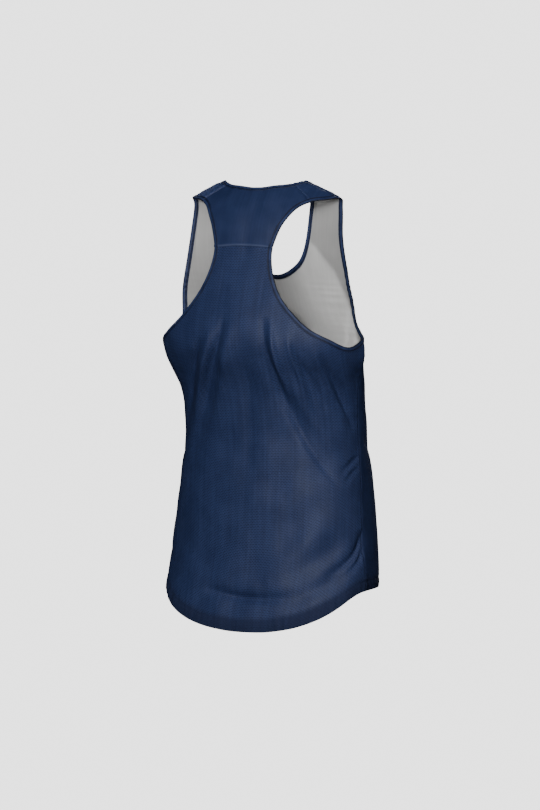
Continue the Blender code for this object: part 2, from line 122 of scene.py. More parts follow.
# ---- folds --------------------------------------------------------------------
# Each runs from a start place over a bend to an end place.  rise is outward, so
# a groove is negative, and spread is the half width of its round section.
FOLDS = [
    # name                start            bend             end              rise     spread
    ("spine hollow",      (-0.09, 10.90),  (-0.04, 12.40),  (-0.01, 13.80),  -0.0040, 0.0150),
    ("left inner roll",   (0.00, 10.80),   (0.08, 11.90),   (0.22, 13.00),    0.0030, 0.0150),
    ("left groove",       (0.04, 10.70),   (0.17, 11.90),   (0.50, 13.40),   -0.0050, 0.0130),
    ("left roll",         (0.11, 10.90),   (0.25, 11.90),   (0.56, 13.20),    0.0035, 0.0120),
    ("left outer",        (0.20, 11.05),   (0.31, 11.70),   (0.62, 12.90),   -0.0035, 0.0120),
    ("right groove",      (-0.18, 10.70),  (-0.285, 12.30), (-0.86, 14.00),  -0.0045, 0.0120),
    ("right roll",        (-0.22, 10.80),  (-0.35, 12.10),  (-0.80, 13.60),   0.0035, 0.0120),
    ("right second",      (-0.39, 10.90),  (-0.49, 11.70),  (-0.64, 12.60),  -0.0035, 0.0120),
    ("right third",       (-0.56, 11.20),  (-0.71, 12.05),  (-0.93, 12.90),  -0.0040, 0.0120),
    ("seat roll",         (-0.80, 14.10),  (-0.40, 14.80),  (-0.15, 15.30),   0.0065, 0.0240),
    ("hem drape",         (0.24, 15.45),   (-0.02, 15.47),  (-0.32, 15.55),  -0.0035, 0.0130),
    ("left hem roll",     (0.60, 15.10),   (0.35, 15.25),   (0.10, 15.20),    0.0035, 0.0180),
    ("hem corner",        (-0.99, 14.70),  (-0.86, 15.14),  (-0.54, 15.35),  -0.0040, 0.0120),
    ("front left",        (0.55, 5.00),    (0.45, 3.90),    (0.20, 2.60),    -0.0050, 0.0130),
    ("front right",       (-0.60, 4.90),   (-0.42, 3.70),   (-0.26, 2.30),   -0.0050, 0.0130),
    ("belly roll",        (-0.10, 4.40),   (0.06, 3.00),    (0.02, 1.60),     0.0050, 0.0220),
    ("front corner",      (0.93, 1.10),    (0.80, 0.80),    (0.50, 0.60),    -0.0040, 0.0120),
    ("left underarm",     (1.00, 6.00),    (1.00, 5.20),    (1.00, 4.40),     0.0035, 0.0140),
    ("right underarm",    (-1.00, 6.00),   (-1.00, 5.20),   (-1.00, 4.40),    0.0035, 0.0140)]

# Finer creases, which only the visible cloth has.
CREASES = [
    # name                 start            bend             end              rise     spread
    ("right steep groove", (-0.165, 10.70), (-0.205, 11.60), (-0.28, 12.55),  -0.0056, 0.0054),
    ("right long groove",  (-0.23, 11.90),  (-0.42, 13.05),  (-0.74, 13.98),  -0.0040, 0.0062),
    ("right roll crest",   (-0.205, 10.72), (-0.255, 11.50), (-0.33, 12.65),   0.0058, 0.0050),
    ("right second edge",  (-0.35, 11.10),  (-0.425, 11.75), (-0.54, 12.65),  -0.0052, 0.0048),
    ("right second crest", (-0.32, 10.95),  (-0.385, 11.65), (-0.48, 12.50),   0.0048, 0.0045),
    ("right short tuck",   (-0.43, 11.50),  (-0.50, 12.00),  (-0.61, 12.55),  -0.0036, 0.0044),
    ("right third edge",   (-0.56, 11.20),  (-0.71, 12.05),  (-0.93, 12.90),  -0.0048, 0.0056),
    ("right third crest",  (-0.51, 11.10),  (-0.65, 12.00),  (-0.88, 12.75),   0.0042, 0.0046),
    ("left groove edge",   (0.05, 10.70),   (0.155, 11.65),  (0.43, 13.00),   -0.0058, 0.0060),
    ("left inner crest",   (0.01, 10.80),   (0.085, 11.80),  (0.26, 13.00),    0.0036, 0.0090),
    ("left roll crest",    (0.13, 10.90),   (0.235, 11.85),  (0.52, 13.05),    0.0034, 0.0060),
    ("left outer edge",    (0.20, 11.05),   (0.31, 11.70),   (0.62, 12.90),   -0.0046, 0.0060),
    ("left outer crest",   (0.22, 11.00),   (0.37, 11.90),   (0.62, 12.70),    0.0014, 0.0060),
    ("hem corner edge",    (-0.99, 14.70),  (-0.86, 15.14),  (-0.54, 15.35),  -0.0052, 0.0056),
    ("hem corner crest",   (-0.99, 14.82),  (-0.88, 15.20),  (-0.62, 15.40),   0.0046, 0.0050),
    ("hem corner second",  (-0.99, 14.97),  (-0.91, 15.26),  (-0.74, 15.44),  -0.0046, 0.0048),
    ("side pucker high",   (-0.98, 13.40),  (-0.86, 13.52),  (-0.72, 13.68),  -0.0038, 0.0042),
    ("side pucker low",    (-0.98, 13.62),  (-0.86, 13.72),  (-0.76, 13.88),  -0.0034, 0.0038),
    ("left side pull",     (0.96, 11.50),   (0.80, 12.00),   (0.62, 12.90),   -0.0018, 0.0090),
    ("left waist tuck",    (0.97, 13.20),   (0.82, 13.40),   (0.62, 13.60),   -0.0016, 0.0080),
    ("left hem tuck",      (0.96, 15.00),   (0.82, 15.30),   (0.58, 15.40),   -0.0018, 0.0090),
    ("seat low hollow",    (-0.86, 15.30),  (-0.58, 15.48),  (-0.20, 15.60),  -0.0026, 0.0110),
    ("seat low roll",      (-0.88, 14.98),  (-0.55, 15.24),  (-0.18, 15.42),   0.0030, 0.0150),
    ("hem drape edge",     (0.26, 15.42),   (-0.02, 15.45),  (-0.32, 15.53),  -0.0050, 0.0060),
    ("low drape",          (0.05, 15.15),   (-0.18, 15.32),  (-0.40, 15.30),   0.0014, 0.0120),
    ("front left edge",    (0.55, 5.00),    (0.45, 3.90),    (0.20, 2.60),    -0.0025, 0.0070),
    ("front right edge",   (-0.60, 4.90),   (-0.42, 3.70),   (-0.26, 2.30),   -0.0025, 0.0070),
    ("chest left pull",    (0.62, 5.40),    (0.50, 4.80),    (0.34, 4.30),    -0.0018, 0.0080),
    ("chest right pull",   (-0.64, 5.50),   (-0.52, 4.90),   (-0.38, 4.20),   -0.0020, 0.0090),
    ("front waist left",   (0.95, 3.40),    (0.78, 3.00),    (0.52, 2.70),    -0.0020, 0.0090),
    ("front waist right",  (-0.94, 3.10),   (-0.80, 2.80),   (-0.55, 2.60),   -0.0018, 0.0080),
    ("front low left",     (0.36, 2.20),    (0.30, 1.50),    (0.34, 0.80),     0.0016, 0.0140),
    ("front low right",    (-0.44, 2.00),   (-0.38, 1.30),   (-0.46, 0.70),   -0.0018, 0.0130)]

FOLD_STEPS = 14
FOLD_REACH = 3             # half widths beyond which a fold isn't felt

# Broad unevenness of worn cloth: a sum of slow waves in random directions.
WAVE_COUNT = 26
WAVE_LENGTHS = (0.022, 0.085)
WAVE_RISE = 0.00022
WAVE_SEED = 11

# Ridges and grooves of the sewing, and a painted highlight on them, each a bell over the cloth:
# its rise or its share of painted highlight, how far its line lies past the seam or over the hem, its half
# width.
SEWN = {
    "hem groove": (-0.0007, HEM_TURN, 0.0011),
    "hem ripple": (0.0008, 0.7 * HEM_TURN, 0.011),
    "side groove": (-0.0009, 0.0, 0.0015),
    "side allowance": (0.00055, 0.0035, 0.0026),
    "side pulls": (0.0003, 0.004, 0.006),
    "yoke allowance": (0.0012, -0.0026, 0.0022),
    "yoke groove": (-0.0005, 0.0, 0.0010),
    "yoke wave": (0.00022, 0.0, 0.009),
    "shoulder allowance": (0.0005, -0.0030, 0.0026),
    "shoulder groove": (-0.0010, 0.0, 0.0012),
    # Painted highlights along the raised allowances of the yoke and shoulder seams.
    "yoke wear": (0.8, -0.0022, 0.0017),
    "shoulder wear": (0.08, -0.0032, 0.0012)}
HEM_PADDING = 0.0004       # swell of the turned hem between its edge and its stitch row
HEM_RADIUS = 0.17          # rough radius of the hem, for distances round it
HEM_UNEVEN = (0.093, 1.3)  # length and phase of the stretches that ripple more
HEM_PULLS = (0.013, 2.1, 0.071)         # length of the pulls, their sway, the sway's length
SIDE_PULLS = (0.012, 1.7, 0.057)        # the same
YOKE_WAVE_TURN = 60        # of the yoke seam's wave, for a unit of across
HEM_PAINTED_SHADE = 0.55        # share of painted shade on the two layers of the turned hem
HEM_SHADE_FADE = 0.6 * HEM_TURN            # height over the stitch row in which that fades

PLACE_STEP = 1e-4          # of across and station, for slopes
EDGE_STEP = 1e-3           # of an edge's own count, for its direction
EDGE_SAMPLES = 801
CROSSING_SAMPLES = 8001
PLACE_DIGITS = 6           # to which places of neighbouring grids agree


def spline(rows):
    """Natural cubic through rows one unit apart; returns the curve's function."""
    rows = np.asarray(rows, float)
    count = len(rows)
    matrix = np.eye(count)
    right = np.zeros_like(rows)
    for i in range(1, count - 1):
        matrix[i, i - 1:i + 2] = 1, 4, 1
        right[i] = 6 * (rows[i - 1] - 2 * rows[i] + rows[i + 1])
    bend = np.linalg.solve(matrix, right)

    def at(where):
        where = np.asarray(where, float)
        i = np.clip(np.floor(where).astype(int), 0, count - 2)
        b = (where - i)[..., None]
        a = 1 - b
        curve = ((a ** 3 - a) * bend[i] + (b ** 3 - b) * bend[i + 1]) / 6
        return a * rows[i] + b * rows[i + 1] + curve
    return at


side_sections = [row[1:] for row in SIDE]
side_line = spline(side_sections + side_sections[-2::-1])
middle_line = spline([row[1:] for row in MIDDLE])


def form(place):
    """Point of the smooth form: a cubic from the middle line to the side line at each station."""
    across, station = np.moveaxis(np.asarray(place, float), -1, 0)
    u = np.abs(across)
    side_x, side_y, side_z = np.moveaxis(side_line(station), -1, 0)
    middle_y, middle_z, middle_pull, side_pull = np.moveaxis(middle_line(station), -1, 0)
    w0, w1, w2, w3 = (1 - u) ** 3, 3 * u * (1 - u) ** 2, 3 * u * u * (1 - u), u ** 3
    x = np.sign(across) * side_x * (middle_pull * w1 + w2 + w3)
    y = middle_y * (w0 + w1) + side_y * (w2 + w3) + side_pull * (middle_y - side_y) * w2
    z = middle_z * (w0 + w1) + side_z * (w2 + w3)
    return np.stack([x, y, z], -1)


def slopes(place):
    """How far the form's point moves for a unit of across, and for a unit of station."""
    place = np.asarray(place, float)
    steps = np.eye(2) * PLACE_STEP
    return [(form(place + step) - form(place - step)) / (2 * PLACE_STEP) for step in steps]


def pace(place):
    """Length over the cloth of a unit of across, and of a unit of station."""
    return np.linalg.norm(slopes(place), axis=-1)


def climb(place, distance):
    """Place moved by a distance over the cloth, to higher stations."""
    moved = np.array(place, float)
    moved[..., 1] += distance / pace(moved)[1]
    return moved


def outward(place):
    """Unit normal of the form, away from the wearer: across slope crossed with station slope."""
    inside = np.array(place, float)
    inside[..., 0] = np.clip(inside[..., 0], -NEAR_SIDE, NEAR_SIDE)
    normal = np.cross(*slopes(inside))
    return normal / np.linalg.norm(normal, axis=-1, keepdims=True)


def inset(place, along, width):
    """Place moved by width over the cloth, square on it to the direction along, and to its left."""
    a, s = slopes(place)
    aa, as_, ss = (a * a).sum(-1), (a * s).sum(-1), (s * s).sum(-1)
    da, ds = along[..., 0], along[..., 1]
    turned = np.stack([-(as_ * da + ss * ds), aa * da + as_ * ds], -1)
    ta, ts = turned[..., 0], turned[..., 1]
    length = np.sqrt(aa * ta * ta + 2 * as_ * ta * ts + ss * ts * ts)
    return place + turned * (width / length)[..., None]


def distances(points):
    """Length along lines of points, from the first to each of them."""
    step = np.linalg.norm(np.diff(points, axis=0), axis=-1)
    return np.concatenate([np.zeros_like(step[:1]), np.cumsum(step, axis=0)])


def edge(rows, mirror_at, panel_side):
    """An opening's edge as a function of run, 0 to 1 by length, and of its inset."""
    rows = np.array(rows)
    # Rows mirrored past both ends make the edge meet the mirror line squarely.
    before, after = (rows[ends] * (-1, 1) + (2 * mirror_at, 0) for ends in ([3, 2, 1], [-2, -3, -4]))
    line = spline(np.concatenate([before, rows, after]))
    fine = np.linspace(0, len(rows) - 1, EDGE_SAMPLES) + len(before)
    length = distances(form(line(fine)))

    def at(run, width=0.0):
        where = np.interp(run, length / length[-1], fine)
        along = line(where + EDGE_STEP) - line(where - EDGE_STEP)
        place = inset(line(where), along, width * panel_side)
        low, high = (-1, mirror_at) if mirror_at else (mirror_at, 1)
        place[..., 0] = np.clip(place[..., 0], low, high)
        return place
    return at


def level(station):
    """A line straight across at one station, as a function of across."""
    def seam(across):
        return np.full(np.shape(across), station)
    return seam


def shoulder_seam(across):
    """Station of the shoulder seam, a straight line over the back of the strap."""
    station, slope, at_across = SHOULDER_SEAM
    return station + slope * (np.abs(across) - at_across)


def crossing(line, seam):
    """Run at which a panel's edge crosses a seam, given as a function of across."""
    run = np.linspace(0, 1, CROSSING_SAMPLES)
    place = line(run, PANEL_INSET)
    above = place[:, 1] - seam(place[:, 0])
    first = np.flatnonzero(np.diff(np.sign(above)))[0]
    share = above[first] / (above[first] - above[first + 1])
    return run[first] + share * (run[first + 1] - run[first])


neck_edge = edge(NECK, 0, -1)
armhole_edge = edge(ARMHOLE, 1, 1)
neck_at_shoulder = crossing(neck_edge, shoulder_seam)
armhole_at_shoulder = crossing(armhole_edge, shoulder_seam)
armhole_at_yoke = crossing(armhole_edge, level(YOKE_SEAM_STATION))


# ---- reliefs of folds, seams and hem ------------------------------------------
def bell(distance, spread):
    """Round bump of height 1: e to minus the square of distance over spread."""
    return np.exp(-(distance / spread) ** 2)


def sewn(name, distance):
    """Rise of a ridge or groove of the sewing: a bell of the distance to its line."""
    rise, line, spread = SEWN[name]
    return rise * bell(distance - line, spread)


def pulls(run, length, sway, sway_length):
    """Small uneven waves: a sine of the run, its phase swayed by a slower sine."""
    turn = run * 2 * np.pi
    return np.sin(turn / length + sway * np.sin(turn / sway_length))


def rounding(distance, radius):
    """0 at an edge and 1 from radius on, over a quarter of a circle."""
    return np.sqrt(1 - np.clip(1 - distance / radius, 0, 1) ** 2)


def fold_rise(place, folds):
    """Sum of round ridges: rise times a bell of the distance to the fold's line, tapered to both ends."""
    spots = form(place)
    rise = np.zeros(spots.shape[:-1])
    run = np.linspace(0, 1, FOLD_STEPS + 1)
    for _, start, bend, end, height, spread in folds:
        start, bend, end = (np.array(p) for p in (start, bend, end))
        s = run[:, None]
        path = form(start * (1 - s) * (1 - 2 * s) + bend * 4 * s * (1 - s) + end * s * (2 * s - 1))
        low, high = path.min(0) - FOLD_REACH * spread, path.max(0) + FOLD_REACH * spread
        near = ((spots > low) & (spots < high)).all(-1)
        leg = path[1:] - path[:-1]
        from_leg = spots[near][:, None, :] - path[:-1]
        part = np.clip((from_leg * leg).sum(-1) / (leg * leg).sum(-1), 0, 1)
        gap = np.linalg.norm(from_leg - part[..., None] * leg, axis=-1)
        nearest = gap.argmin(-1)[..., None]
        reach = (nearest + np.take_along_axis(part, nearest, -1))[..., 0] / FOLD_STEPS
        closest = np.take_along_axis(gap, nearest, -1)[..., 0]
        rise[near] += height * np.sin(np.pi * reach) * bell(closest, spread)
    return rise


def unevenness(points):
    """Sum of sine waves through space, each with its own direction, length and phase."""
    draw = np.random.RandomState(WAVE_SEED)
    total = np.zeros(points.shape[:-1])
    for _ in range(WAVE_COUNT):
        direction = draw.normal(size=3)
        length = draw.uniform(*WAVE_LENGTHS)
        phase = draw.uniform(0, 2 * np.pi)
        wave = points @ (direction / np.linalg.norm(direction)) * (2 * np.pi / length) + phase
        total += np.sin(wave) * (length / WAVE_LENGTHS[1])
    return total * WAVE_RISE


def hem_height(place):
    """Height above the nearer hem: stations from it times the pace of the cloth at the hem."""
    start = np.where(place[..., 1] < RIDGE_STATION, HEM_STATION["front"], HEM_STATION["back"])
    return np.abs(place[..., 1] - start) * pace(np.stack([place[..., 0], start], -1))[1]


def hem_curl(place):
    """How far the cloth bends in: the square of the nearness to the hem, fading out at the side seams."""
    nearness = np.clip(1 - hem_height(place) / HEM_CURL_HEIGHT, 0, 1)
    return HEM_CURL * nearness ** 2 * (1 - np.abs(place[..., 0]) ** 4)


def side_distance(place):
    """Distance from the side seam: what across falls short of 1 times the pace near the side."""
    line = np.stack([np.full(place.shape[:-1], NEAR_SIDE), place[..., 1]], -1)
    return (1 - np.abs(place[..., 0])) * pace(line)[0]


def back_seam_distances(place):
    """Distances past the yoke seam and past the shoulder seam: stations past each times the pace."""
    seams = (YOKE_SEAM_STATION, shoulder_seam(place[..., 0]))
    return [(place[..., 1] - seam) * pace(place)[1] for seam in seams]


def hem_relief(place):
    """Rolled hem edge, a padded turn, a groove at the stitch row, and uneven pulls between them."""
    height = hem_height(place)
    points = form(place)
    girth = np.arctan2(points[..., 0], points[..., 1]) * HEM_RADIUS
    length, phase = HEM_UNEVEN
    uneven = 0.5 + 0.5 * np.sin(girth * 2 * np.pi / length + phase)
    edge_roll = HEM_WALL / 2 * (rounding(height, HEM_WALL / 2) - 1)
    padding = HEM_PADDING * np.sin(np.pi * np.clip(height / HEM_TURN, 0, 1))
    ripple = pulls(girth, *HEM_PULLS) * uneven * sewn("hem ripple", height)
    return edge_roll + padding + sewn("hem groove", height) + ripple


def side_relief(place):
    """Sewn groove along the side seam, the seam allowance on the back of it, and small pulls across it."""
    distance = side_distance(place)
    on_back = place[..., 1] > RIDGE_STATION
    pull = pulls(form(place)[..., 2], *SIDE_PULLS)
    return (sewn("side groove", distance) + sewn("side allowance", distance) * on_back
            + sewn("side pulls", distance) * pull)


def back_seam_relief(place):
    """Yoke seam and shoulder seams: a groove with the folded allowance lying beside it."""
    yoke, shoulder = back_seam_distances(place)
    wave = np.sin(place[..., 0] * YOKE_WAVE_TURN) * sewn("yoke wave", yoke)
    return (sewn("yoke allowance", yoke) + sewn("yoke groove", yoke) + wave
            + sewn("shoulder allowance", shoulder) + sewn("shoulder groove", shoulder))


def seam_painted_light(place):
    """Share of painted highlight along the raised folds of the seams; below 0, of painted shade on the two
    layers of the turned hem.
    """
    yoke, shoulder = back_seam_distances(place)
    double_and_shade = 1 - np.clip((hem_height(place) - HEM_TURN) / HEM_SHADE_FADE, 0, 1)
    return sewn("yoke wear", yoke) + sewn("shoulder wear", shoulder) - HEM_PAINTED_SHADE * double_and_shade


def relief(place):
    """All that lifts or sinks the outer face off the form, folds included."""
    rise = fold_rise(place, FOLDS + CREASES) + unevenness(form(place)) - hem_curl(place)
    return rise + hem_relief(place) + side_relief(place) + back_seam_relief(place)


def face(place, lift=0.0):
    """Point of the outer face, moved out by lift."""
    return form(place) + outward(place) * (relief(place) + lift)[..., None]


def wall_thickness(place):
    """One layer, or two by a smooth step inside the turned hem, closing in a half round at its edge."""
    height = hem_height(place)
    turned = 0.5 - 0.5 * np.tanh((height - HEM_TURN) / (2 * TURN_STEP))
    return WALL + (HEM_WALL - WALL) * turned - HEM_WALL * (1 - rounding(height, HEM_WALL / 2))


# ---- the cut ----------------------------------------------------------------
GRADING = 1.28             # of a step of graded shares to the next, finer one by a seam's groove
MOST_STEPS = 400


def graded(total, fine, coarse):
    """Shares of a length: steps from coarse down to fine at its end, each GRADING times the next."""
    sizes = np.minimum(fine * GRADING ** np.arange(MOST_STEPS), coarse)
    marks = np.cumsum(sizes)
    marks = marks[marks < total - coarse / 2]
    return 1 - np.concatenate([[0], marks, [total]])[::-1] / total


# Shares of the half width, the strap, the upper back and the yoke, from rough lengths in metres.
SIDE_SHARES = graded(0.27, 0.0006, 0.0031)
STRAP_SHARES = graded(0.25, 0.0005, 0.0036)[1:]
UPPER_SHARES = graded(0.24, 0.0005, 0.0031)[1:]
YOKE_COLUMNS = np.linspace(0, 1, 53)
YOKE_SHARES = (1 - graded(0.09, 0.0005, 0.0016))[::-1][1:]
YOKE_STRAP_SHARES = graded(0.075, 0.0005, 0.0020)[1:]
CHEST_SHARES = np.linspace(0, 1, 25)[1:]
BODY_ROWS = {"front": 92, "back": 98}

# Heights of the lowest rows, close over the hem's rolled edge and again above its stitch row.
HEM_ROWS = np.array([0, 0.0002, 0.0005, 0.0009, 0.0014, 0.003, 0.005, 0.0075, 0.010, 0.0125, 0.015,
                     0.017, 0.0185, 0.0193, 0.0198, 0.0203, 0.0210, 0.022, 0.0235, 0.0255])


def part_way(ends, share):
    """Number at a share of the way from the first end to the second."""
    return ends[0] + share * (ends[1] - ends[0])


def rows_between(inner, outer, shares):
    """Grid of places, straight from each inner place to its outer one, at those shares."""
    share = shares[None, :, None]
    return inner[:, None, :] * (1 - share) + outer[:, None, :] * share


def column(across, stations):
    """Places up a line of constant across."""
    return np.stack([np.full(len(stations), across), stations], -1)


def body_rows(hem):
    """Rows from a hem up to the underarm; those of HEM_ROWS keep their height all the way across."""
    start, heights = HEM_STATION[hem], HEM_WAY[hem] * HEM_ROWS
    side_top = armhole_edge(0.0 if hem == "front" else 1.0, PANEL_INSET)[1]
    lines = []
    for across, top in ((0.0, MIDDLE_FACING_UNDERARM[hem]), (SIDE_LINE, side_top)):
        low = start + heights / pace((across, start))[1]
        upper = np.linspace(low[-1], top, BODY_ROWS[hem] + 1)[1:]
        lines.append(column(across, np.concatenate([low, upper])))
    grid = rows_between(*lines, SIDE_SHARES)
    for row, height in enumerate(heights):
        foot = np.column_stack([grid[row, :, 0], np.full(len(SIDE_SHARES), start)])
        grid[row] = climb(foot, height)
    return grid


def fan(middle, armhole_run, share, shares):
    """Rows from the centre plane to the armhole, at shares of both lengths."""
    inner = column(0.0, part_way(middle, share))
    return rows_between(inner, armhole_edge(part_way(armhole_run, share), PANEL_INSET), shares)


def strap_rows(neck_run, armhole_run, share, shares):
    """Rows from the neck edge to the armhole, at shares of both edges."""
    inner = neck_edge(part_way(neck_run, share), PANEL_INSET)
    return rows_between(inner, armhole_edge(part_way(armhole_run, share), PANEL_INSET), shares)


def front_grids():
    """Half of the front: up to the underarm and the neck drop, then up the strap."""
    turn = crossing(armhole_edge, level(ARMHOLE_FACING_NECK_DROP))
    middle = (MIDDLE_FACING_UNDERARM["front"], neck_edge(0.0, PANEL_INSET)[1])
    lower = np.concatenate([body_rows("front"), fan(middle, (0, turn), CHEST_SHARES, SIDE_SHARES)])
    strap = strap_rows((0, neck_at_shoulder), (turn, armhole_at_shoulder), STRAP_SHARES, SIDE_SHARES)
    return lower, np.concatenate([lower[-1:], strap])


def yoke_grids():
    """Half of the yoke: up the centre plane, then along the neck to the shoulder seam."""
    turn = crossing(armhole_edge, level(ARMHOLE_FACING_NAPE))
    first = rows_between(column(0.0, np.array([YOKE_SEAM_STATION])),
                         armhole_edge(np.array([armhole_at_yoke]), PANEL_INSET), YOKE_COLUMNS)
    first[..., 1] = YOKE_SEAM_STATION
    middle = (YOKE_SEAM_STATION, neck_edge(1.0, PANEL_INSET)[1])
    lower = np.concatenate([first, fan(middle, (armhole_at_yoke, turn), YOKE_SHARES, YOKE_COLUMNS)])
    strap = strap_rows((1, neck_at_shoulder), (turn, armhole_at_shoulder), YOKE_STRAP_SHARES, YOKE_COLUMNS)
    return lower, np.concatenate([lower[-1:], strap])


def back_grids():
    """Half of the lower back: up to the underarm, then up to the yoke seam."""
    middle = (MIDDLE_FACING_UNDERARM["back"], YOKE_SEAM_STATION)
    upper = fan(middle, (1, armhole_at_yoke), UPPER_SHARES, SIDE_SHARES)
    upper[-1, :, 1] = YOKE_SEAM_STATION
    return (np.concatenate([body_rows("back"), upper]),)


# ---- meshes -----------------------------------------------------------------
# Lengths over the smooth form on a grid of across and station.  Those up the cloth
# are taken a quarter of the way from the centre plane to the side.
GIRTH_STEPS, LENGTH_STEPS = 240, 320
cloth_across = np.linspace(0, 1, GIRTH_STEPS + 1)
cloth_station = np.linspace(HEM_STATION["front"], HEM_STATION["back"], LENGTH_STEPS + 1)
measured = form(np.stack(np.meshgrid(cloth_across, cloth_station, indexing="ij"), -1))
girth_table = distances(measured[..., :2])
length_table = distances(measured[GIRTH_STEPS // 4])


def cloth_uv(place):
    """Level distance from the centre plane and length from the front hem, read between the tables' steps."""
    a = np.abs(place[..., 0]) * GIRTH_STEPS
    s = np.clip(place[..., 1] / HEM_STATION["back"], 0, 1) * LENGTH_STEPS
    i = np.clip(a.astype(int), 0, GIRTH_STEPS - 1)
    j = np.clip(s.astype(int), 0, LENGTH_STEPS - 1)
    p, q = a - i, s - j
    girth = ((1 - p) * (1 - q) * girth_table[i, j] + p * (1 - q) * girth_table[i + 1, j]
             + (1 - p) * q * girth_table[i, j + 1] + p * q * girth_table[i + 1, j + 1])
    length = (1 - q) * length_table[j] + q * length_table[j + 1]
    return np.stack([np.sign(place[..., 0]) * girth, length], -1)


def add_object(name, data):
    """A new object of that data, in the scene."""
    thing = bpy.data.objects.new(name, data)
    bpy.context.scene.collection.objects.link(thing)
    return thing


def make_object(name, points, faces, materials, uv=None, face_slots=None, sharp_degrees=60):
    """Mesh object at the origin from arrays of points and quads."""
    mesh = bpy.data.meshes.new(name)
    mesh.from_pydata(points.tolist(), [], faces.tolist())
    for material in materials:
        mesh.materials.append(material)
    if face_slots is not None:
        mesh.polygons.foreach_set("material_index", face_slots.astype(np.int32))
    if uv is not None:
        corners = np.empty(len(mesh.loops), np.int32)
        mesh.loops.foreach_get("vertex_index", corners)
        mesh.uv_layers.new(name="Cloth").data.foreach_set("uv", uv[corners].astype(np.float32).ravel())
    mesh.update()
    mesh.shade_smooth()
    mesh.set_sharp_from_angle(angle=math.radians(sharp_degrees))
    return add_object(name, mesh)


def both_sides(half):
    """The half grids and their mirrored copies; a lower grid is joined over the centre plane."""
    lower, *strap = half
    grids = [np.concatenate([lower[:, :0:-1] * (-1, 1), lower], 1)]
    for grid in strap:
        grids += [grid, grid * (-1, 1)]
    return grids


def weld(grids):
    """Places of all grids once each, and the quads over them, turned to face out."""
    places, quads, first = [], [], 0
    for grid in grids:
        rows, columns = grid.shape[:2]
        number = first + np.arange(rows * columns).reshape(rows, columns)
        quad = np.stack([number[:-1, :-1], number[:-1, 1:], number[1:, 1:], number[1:, :-1]], -1)
        places.append(grid.reshape(-1, 2))
        quads.append(quad.reshape(-1, 4))
        first += rows * columns
    places, quads = np.concatenate(places), np.concatenate(quads)
    rounded = np.round(places, PLACE_DIGITS)
    _, keep, same = np.unique(rounded, axis=0, return_index=True, return_inverse=True)
    places, quads = places[keep], same.reshape(-1)[quads]
    corner = places[quads]
    p, q = corner[:, 2] - corner[:, 0], corner[:, 3] - corner[:, 1]
    wrong = p[:, 0] * q[:, 1] - p[:, 1] * q[:, 0] < 0
    quads[wrong] = quads[wrong, ::-1]
    return places, quads


def panel(name, half, outside, inside):
    """Closed wall over a panel's grids: an outer face, an inner one a wall's thickness in, and a rim."""
    places, quads = weld(both_sides(half))
    outer = face(places)
    inner = outer - outward(places) * wall_thickness(places)[:, None]
    count = len(places)
    directed = np.concatenate([quads[:, [i, (i + 1) % 4]] for i in range(4)])
    _, where, uses = np.unique(np.sort(directed, 1), axis=0, return_index=True, return_counts=True)
    rim = directed[where[uses == 1]]
    rim_quads = np.stack([rim[:, 1], rim[:, 0], rim[:, 0] + count, rim[:, 1] + count], -1)
    faces = np.concatenate([quads, quads[:, ::-1] + count, rim_quads])
    # The turned hem shows the outside's finish on the inner face as well.
    single = hem_height(places[quads].mean(1)) >= HEM_TURN
    slots = np.concatenate([np.zeros(len(quads)), single, np.zeros(len(rim_quads))])
    uv = cloth_uv(places)
    piece = make_object(name + "_cloth", np.concatenate([outer, inner]), faces,
                        [outside, inside], np.concatenate([uv, uv]), slots)
    # Painted light on the outer face: highlights along the yoke and shoulder seams, and painted shade, below
    # 0, on the turned hem.
    painted_light = piece.data.attributes.new("PaintedLight", "FLOAT", "POINT")
    painted_light.data.foreach_set("value", np.concatenate([seam_painted_light(places), np.zeros(count)]))
    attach(piece, "root")
    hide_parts(name)
    return piece


def tube_quads(count, around, closed=False):
    """Quads from each ring of points to the next, and laddered over both end rings unless it is closed."""
    number = np.arange(count * around).reshape(count, around)
    rings = np.concatenate([number, number[:1]]) if closed else number
    beside = np.roll(rings, -1, 1)
    quads = np.stack([rings[:-1], beside[:-1], beside[1:], rings[1:]], -1).reshape(-1, 4)
    if closed:
        return quads
    caps = [[ring[i], ring[-1 - i], ring[-2 - i], ring[i + 1]]
            for ring in (number[0], number[-1][::-1]) for i in range(around // 2 - 1)]
    return np.concatenate([quads, caps])


def face_out(points, quads):
    """Quads turned over if their volume, a sum of their corners' triple products, is below nothing."""
    corner = points[quads]
    halves = [np.cross(corner[:, i], corner[:, i + 1]) for i in (1, 2)]
    volume = (corner[:, 0] * sum(halves)).sum()
    return quads[:, ::-1] if volume < 0 else quads


MEASURED_CORNER = 4        # of a section, along which its length is measured


def tube(name, rings, over, material, closed=False):
    """Section carried along a line; its UV is the length along it and the given width over it."""
    along = distances(rings[:, MEASURED_CORNER])
    uv = np.stack(np.broadcast_arrays(along[:, None], over[None, :]), -1)
    points = rings.reshape(-1, 3)
    quads = tube_quads(*rings.shape[:2], closed)
    piece = make_object(name, points, face_out(points, quads), [material], uv.reshape(-1, 2))
    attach(piece, "root")
    return piece


# Distances from the folded edge at which a binding's section has its corners.
BINDING_SECTION = np.array([0, 0.0002, 0.0005, 0.0009, 0.0013, 0.0020, 0.0029, 0.0038, 0.0045, 0.0050,
                            0.0054, 0.0058, 0.0063, 0.0068, 0.0073, 0.0077, 0.0080])
BINDING_ROW = 0.0054       # stitch row, from the folded edge
BINDING_GROOVE = (0.00032, 0.0007)      # depth and half width of the groove along it
BINDING_FOLD = 0.0013      # radius of the fold
BINDING_LIP = 0.0008       # width over which the sewn edge comes down to the cloth
BINDING_CLEAR = 0.00003    # left between the sewn edge and the cloth


def binding_half(width):
    """Half the binding's thickness: round at the fold, grooved at the stitches, down to the cloth."""
    low = WALL / 2 + BINDING_CLEAR
    full = low + (BINDING_HALF - low) * rounding(BINDING_WIDTH - width, BINDING_LIP)
    depth, spread = BINDING_GROOVE
    return full * rounding(width, BINDING_FOLD) - depth * bell(width - BINDING_ROW, spread)


